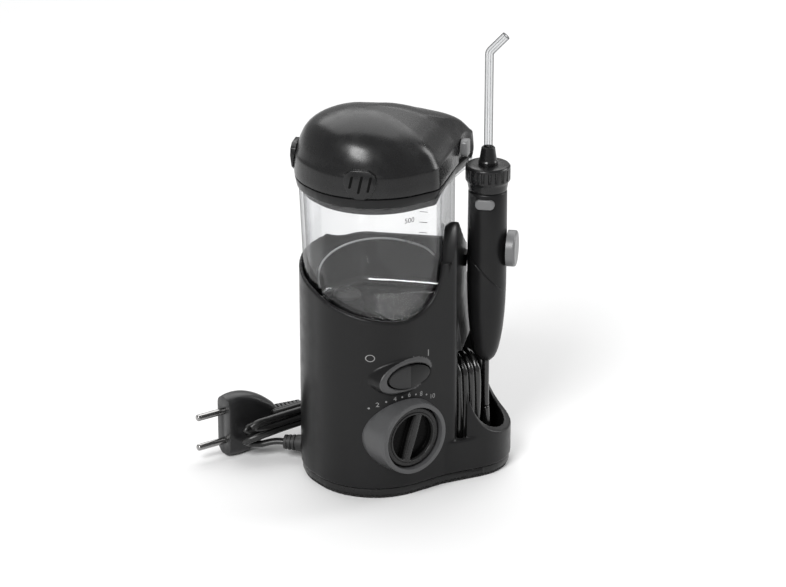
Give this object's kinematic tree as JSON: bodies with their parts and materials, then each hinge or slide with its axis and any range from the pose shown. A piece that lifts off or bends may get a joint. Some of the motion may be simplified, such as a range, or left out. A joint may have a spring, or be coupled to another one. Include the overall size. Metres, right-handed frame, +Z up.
{
  "type": "water flosser",
  "caption": "Countertop water flosser: black base with dial and rocker switch, clear lidded tank, corded handle with jet tip in a cradle, coiled hose in a well, bundled mains cord.",
  "frame": {"origin": "on the floor under the middle of the round left part of the base, at the underside of the foot", "axes": "+Z up; -Y out of the front panel that carries the dial and the switch; +X towards the handle"},
  "size_m": [0.1591, 0.1226, 0.2644],
  "materials": {
    "body_plastic": "fine satin moulded, near black",
    "shell_gloss": "smooth, soft gloss, charcoal black",
    "plate_black": "satin black",
    "foot_rubber": "granular black rubber",
    "seal_rubber": "smooth black rubber",
    "mid_grey": "satin mid grey",
    "bezel_grey": "satin dark grey",
    "knob_black": "gloss black",
    "inner_plastic": "natural moulded",
    "steel": "plain steel",
    "pin_metal": "bright nickel plate",
    "brass": "machined",
    "clear_tank": "clear moulded plastic",
    "clear_tip": "clear moulded plastic",
    "clear_tube": "translucent tube",
    "hose_black": "glossy flexible hose",
    "cord_black": "flexible flat cord",
    "plug_black": "satin moulded plug"
  },
  "bodies": {
    "base": {"base_housing": "body_plastic", "base_plate": "plate_black", "foot_pad": "foot_rubber", "base_screws": "steel", "dial_bezel": "bezel_grey", "regulator_body": "inner_plastic", "rocker_pin": "steel", "switch_body": "plate_black", "motor_body": "steel", "motor_bracket": "steel", "bracket_screws": "steel", "gear_axle": "steel", "pump_cylinder": "inner_plastic", "tank_grommet": "seal_rubber", "inlet_tube": "clear_tube", "outlet_tube": "clear_tube", "hose_connector": "inner_plastic", "handle_cradle": "body_plastic", "water_hose": "hose_black", "hose_coil": "hose_black", "cord_gland": "seal_rubber", "power_cord": "cord_black", "cord_hank": "cord_black", "cord_tie": "cord_black", "plug_body": "plug_black", "plug_pins": "pin_metal", "plug_relief": "plug_black", "plug_lead": "cord_black"},
    "tank": {"reservoir": "clear_tank", "reservoir_valve": "seal_rubber"},
    "lid": {"tip_tray": "body_plastic", "lid_dome": "shell_gloss", "lid_grips": "shell_gloss", "lid_side_lugs": "mid_grey", "lid_hinge_pin": "steel"},
    "handle": {"handle_body": "body_plastic", "handle_cover": "body_plastic", "water_pipe": "inner_plastic", "eject_spring": "steel"},
    "collar": {"rotator_collar": "shell_gloss", "collar_seal": "seal_rubber"},
    "tip": {"jet_tip": "clear_tip", "tip_cone": "shell_gloss"},
    "eject": {"eject_button": "mid_grey"},
    "pause": {"pause_slider": "mid_grey"},
    "dial": {"pressure_dial": "knob_black", "dial_shaft": "steel"},
    "rocker": {"power_rocker": "mid_grey"},
    "gear": {"drive_gear": "inner_plastic", "crank_pin": "steel"},
    "pinion": {"motor_pinion": "brass"},
    "piston": {"piston_yoke": "inner_plastic", "piston_seal": "seal_rubber"}
  },
  "joints": [
    {"name": "dial_turn", "type": "hinge", "parent": "base", "child": "dial", "pos_m": [-0.006, -0.043, 0.039], "axis": [0, -1, 0], "range_deg": [-24, 66]},
    {"name": "power_switch", "type": "hinge", "parent": "base", "child": "rocker", "pos_m": [-0.0056, -0.0406, 0.0753], "axis": [0, 0, 1], "range_deg": [0, 10]},
    {"name": "gear_spin", "type": "hinge", "parent": "base", "child": "gear", "pos_m": [0.00235, 0.00441, 0.05], "axis": [0, 0, 1], "continuous": true},
    {"name": "pinion_spin", "type": "hinge", "parent": "base", "child": "pinion", "pos_m": [-0.016, 0.016, 0.05], "axis": [0, 0, 1], "continuous": true},
    {"name": "piston_slide", "type": "slide", "parent": "base", "child": "piston", "axis": [0, 1, 0], "range_m": [-0.003, 0.003]},
    {"name": "tank_lift", "type": "slide", "parent": "base", "child": "tank", "axis": [0, 0, 1], "range_m": [0, 0.09]},
    {"name": "lid_open", "type": "hinge", "parent": "tank", "child": "lid", "pos_m": [0.063, 0, 0.1804], "axis": [0, 1, 0], "range_deg": [0, 34]},
    {"name": "handle_lift", "type": "slide", "parent": "base", "child": "handle", "axis": [0, 0, 1], "range_m": [0, 0.03]},
    {"name": "tip_turn", "type": "hinge", "parent": "handle", "child": "collar", "pos_m": [0.0572, -0.0316, 0.18], "axis": [0, 0, 1], "continuous": true},
    {"name": "tip_pull", "type": "slide", "parent": "collar", "child": "tip", "axis": [0, 0, 1], "range_m": [0, 0.025]},
    {"name": "tip_eject", "type": "slide", "parent": "handle", "child": "eject", "axis": [0.7071, 0.7071, 0], "range_m": [0, 0.0006], "stiffness_N_per_m": 400},
    {"name": "pause_slide", "type": "slide", "parent": "handle", "child": "pause", "axis": [0, 0, -1], "range_m": [0, 0.0045]}
  ],
  "couplings": [
    {"joint": "pinion_spin", "follows": "gear_spin", "ratio": -4.1667}
  ]
}
